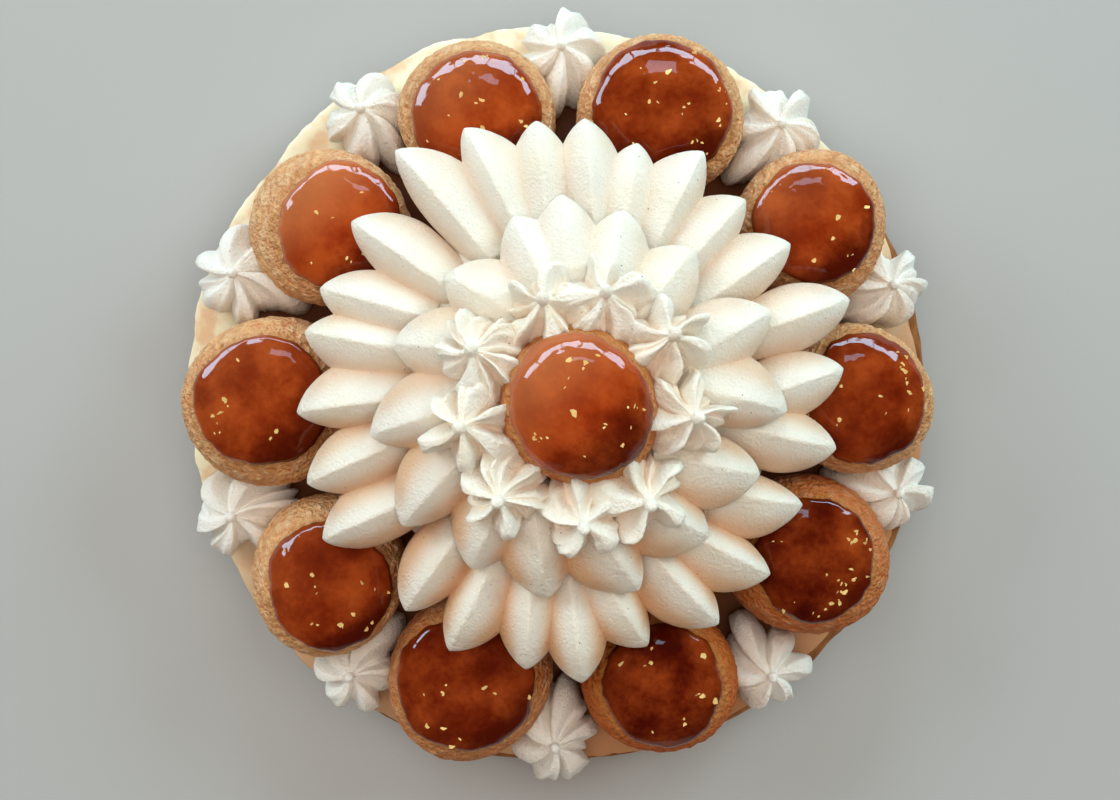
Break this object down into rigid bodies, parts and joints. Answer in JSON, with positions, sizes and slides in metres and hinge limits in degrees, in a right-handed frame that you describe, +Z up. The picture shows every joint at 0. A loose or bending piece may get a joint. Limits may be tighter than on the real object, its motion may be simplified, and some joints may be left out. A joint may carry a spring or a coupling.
{
  "type": "saint-honore cake",
  "caption": "Round pastry cake with a ring of caramel-dipped choux, piped cream rosettes, a flower of cream petals and a choux on top.",
  "frame": {"origin": "centre of the flat underside of the pastry base", "axes": "+Z up; +Y towards the top of the picture and +X towards its right, seen from above"},
  "size_m": [0.2234, 0.2225, 0.0858],
  "materials": {
    "pastry": "baked, matt",
    "bed_cream": "smooth spread cream, satin",
    "choux": "crackled sugar crust, matt",
    "caramel": "clear hard sugar, glossy",
    "cream": "piped whipped cream, soft satin",
    "gold": "edible gold leaf, shiny"
  },
  "bodies": {
    "root": {"pastry_base": "pastry", "cream_bed": "bed_cream", "pastry_core": "pastry", "choux_01": "choux", "choux_02": "choux", "choux_03": "choux", "choux_04": "choux", "choux_05": "choux", "choux_06": "choux", "choux_07": "choux", "choux_08": "choux", "choux_09": "choux", "choux_10": "choux", "choux_centre": "choux", "caramel_01": "caramel", "caramel_02": "caramel", "caramel_03": "caramel", "caramel_04": "caramel", "caramel_05": "caramel", "caramel_06": "caramel", "caramel_07": "caramel", "caramel_08": "caramel", "caramel_09": "caramel", "caramel_10": "caramel", "caramel_centre": "caramel", "rosette_outer_01": "cream", "rosette_outer_02": "cream", "rosette_outer_03": "cream", "rosette_outer_04": "cream", "rosette_outer_05": "cream", "rosette_outer_06": "cream", "rosette_outer_07": "cream", "rosette_outer_08": "cream", "rosette_outer_09": "cream", "rosette_outer_10": "cream", "cream_flower": "cream", "rosette_centre_01": "cream", "rosette_centre_02": "cream", "rosette_centre_03": "cream", "rosette_centre_04": "cream", "rosette_centre_05": "cream", "rosette_centre_06": "cream", "rosette_centre_07": "cream", "rosette_centre_08": "cream", "rosette_centre_09": "cream"}
  },
  "joints": []
}
